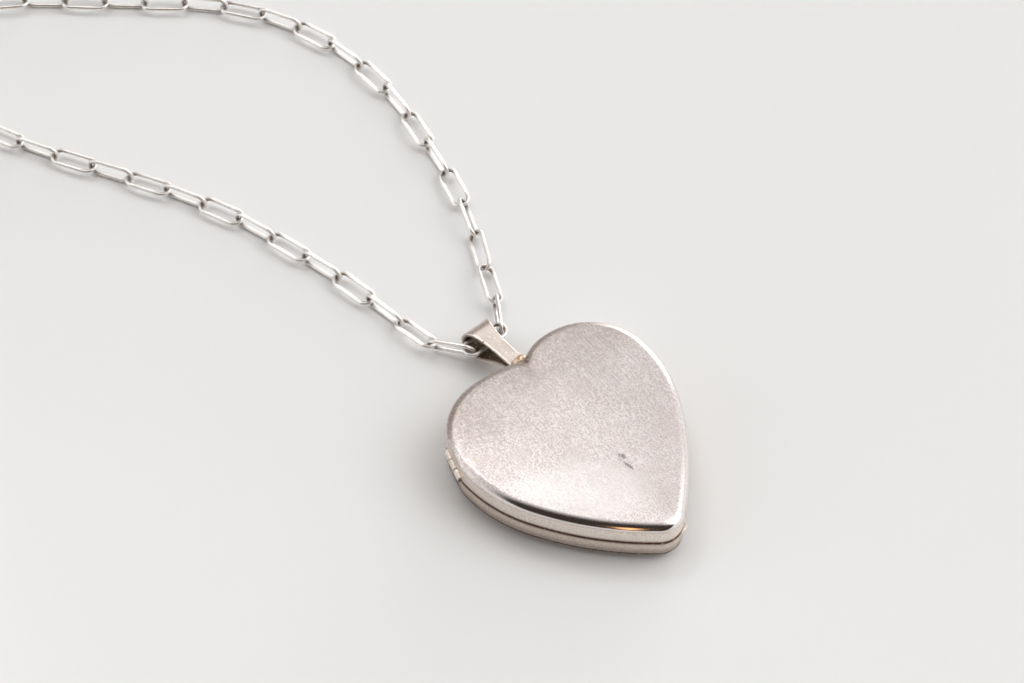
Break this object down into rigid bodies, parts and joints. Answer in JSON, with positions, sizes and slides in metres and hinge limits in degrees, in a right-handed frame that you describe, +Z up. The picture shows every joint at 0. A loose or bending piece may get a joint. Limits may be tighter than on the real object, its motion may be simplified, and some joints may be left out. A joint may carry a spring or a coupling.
{
  "type": "locket",
  "caption": "Heart-shaped hinged locket with a folded bail on a fine oval-link chain with a spring ring clasp, lying face down.",
  "frame": {"origin": "on the surface that the locket rests on, under the middle of the heart, at the middle of the small flat on the crown of the front cover", "axes": "+Z up out of the back cover, +Y from the point of the heart towards the bail, +X across the lobes"},
  "size_m": [0.0753, 0.1134, 0.0066],
  "materials": {
    "silver_satin": "satin, finely scratched sterling silver",
    "silver_polished": "worn polish on sterling silver",
    "silver_dark": "dull silver, slightly tarnished",
    "solder": "rough brown solder",
    "gilt_frame": "satin gilt",
    "clear_acetate": "clear",
    "picture_card": "matte",
    "spring_steel": "plain"
  },
  "bodies": {
    "back_half": {"back_dome": "silver_satin", "back_rim": "silver_polished", "back_bezel": "silver_dark", "back_photo_frame": "gilt_frame", "back_window": "clear_acetate", "back_photo_card": "picture_card", "hinge_knuckles_back": "silver_polished", "hinge_pin": "spring_steel", "bail": "silver_polished", "bail_solder": "solder", "chain_left": "silver_polished", "chain_right": "silver_polished", "clasp_body": "silver_polished", "clasp_spring": "spring_steel", "clasp_jump_ring": "silver_polished", "end_ring": "silver_polished"},
    "front_half": {"front_dome": "silver_satin", "front_rim": "silver_polished", "front_bezel": "silver_dark", "front_photo_frame": "gilt_frame", "front_window": "clear_acetate", "front_photo_card": "picture_card", "opening_tab": "silver_polished", "hinge_knuckle_front": "silver_polished"},
    "clasp_bolt_body": {"clasp_bolt": "silver_polished"}
  },
  "joints": [
    {"name": "cover_hinge", "type": "hinge", "parent": "back_half", "child": "front_half", "pos_m": [-0.01187, 0.00795, 0.0033], "axis": [0.2924, 0.9563, 0], "range_deg": [0, 180]},
    {"name": "clasp_trigger", "type": "hinge", "parent": "back_half", "child": "clasp_bolt_body", "pos_m": [-0.04467, 0.09, 0.0012], "axis": [0, 0, 1], "range_deg": [0, 44], "stiffness_Nm_per_rad": 0.00001}
  ]
}
